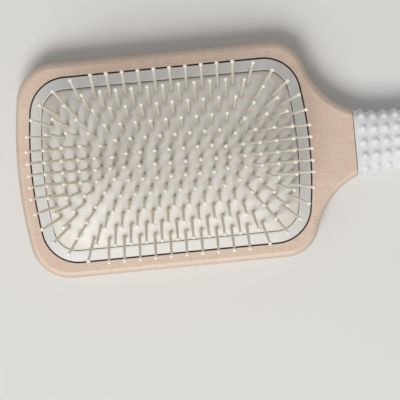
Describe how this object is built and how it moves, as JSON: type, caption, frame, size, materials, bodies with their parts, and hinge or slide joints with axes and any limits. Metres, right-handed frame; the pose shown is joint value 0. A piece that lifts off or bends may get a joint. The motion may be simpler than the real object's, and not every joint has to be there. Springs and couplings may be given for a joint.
{
  "type": "paddle detangling brush",
  "caption": "Paddle brush with a wooden body, a domed air cushion that presses in under its ball-tipped pins, a clamping frame and a nubbed grip sleeve.",
  "frame": {"origin": "on the flat back face of the head, below the middle of the cushion", "axes": "+X along the handle towards its butt end, +Y across the head, +Z from the back towards the pins"},
  "size_m": [0.2435, 0.0866, 0.0427],
  "materials": {
    "beech_wood": "satin oiled",
    "grey_plastic": "satin",
    "pale_rubber": "matt",
    "white_silicone": "satin",
    "nylon": "polished"
  },
  "bodies": {
    "paddle": {"paddle_body": "beech_wood", "cushion_frame": "grey_plastic", "cushion_pad": "pale_rubber", "grip_sleeve": "white_silicone"},
    "crown_pins": {"pins_centre_row": "nylon", "pins_ring6_toe": "nylon", "pins_ring6_heel": "nylon", "pins_ring6_left": "nylon", "pins_ring6_right": "nylon"},
    "ring5_pins": {"pins_ring5_toe": "nylon", "pins_ring5_heel": "nylon", "pins_ring5_left": "nylon", "pins_ring5_right": "nylon"},
    "ring4_pins": {"pins_ring4_toe": "nylon", "pins_ring4_heel": "nylon", "pins_ring4_left": "nylon", "pins_ring4_right": "nylon"},
    "ring3_pins": {"pins_ring3_toe": "nylon", "pins_ring3_heel": "nylon", "pins_ring3_left": "nylon", "pins_ring3_right": "nylon"},
    "ring2_pins": {"pins_ring2_toe": "nylon", "pins_ring2_heel": "nylon", "pins_ring2_left": "nylon", "pins_ring2_right": "nylon"},
    "ring1_pins": {"pins_ring1_toe": "nylon", "pins_ring1_heel": "nylon", "pins_ring1_left": "nylon", "pins_ring1_right": "nylon"}
  },
  "joints": [
    {"name": "cushion_press", "type": "slide", "parent": "paddle", "child": "crown_pins", "axis": [0, 0, -1], "range_m": [0, 0.004], "stiffness_N_per_m": 1500, "deforming": ["cushion_pad"]},
    {"name": "ring5_sink", "type": "slide", "parent": "paddle", "child": "ring5_pins", "axis": [0, 0, -1], "range_m": [0, 0.00391]},
    {"name": "ring4_sink", "type": "slide", "parent": "paddle", "child": "ring4_pins", "axis": [0, 0, -1], "range_m": [0, 0.00365]},
    {"name": "ring3_sink", "type": "slide", "parent": "paddle", "child": "ring3_pins", "axis": [0, 0, -1], "range_m": [0, 0.00318]},
    {"name": "ring2_sink", "type": "slide", "parent": "paddle", "child": "ring2_pins", "axis": [0, 0, -1], "range_m": [0, 0.00245]},
    {"name": "ring1_sink", "type": "slide", "parent": "paddle", "child": "ring1_pins", "axis": [0, 0, -1], "range_m": [0, 0.00141]}
  ],
  "couplings": [
    {"joint": "ring5_sink", "follows": "cushion_press", "ratio": 0.9659},
    {"joint": "ring4_sink", "follows": "cushion_press", "ratio": 0.9008},
    {"joint": "ring3_sink", "follows": "cushion_press", "ratio": 0.7836},
    {"joint": "ring2_sink", "follows": "cushion_press", "ratio": 0.6007},
    {"joint": "ring1_sink", "follows": "cushion_press", "ratio": 0.3394}
  ]
}
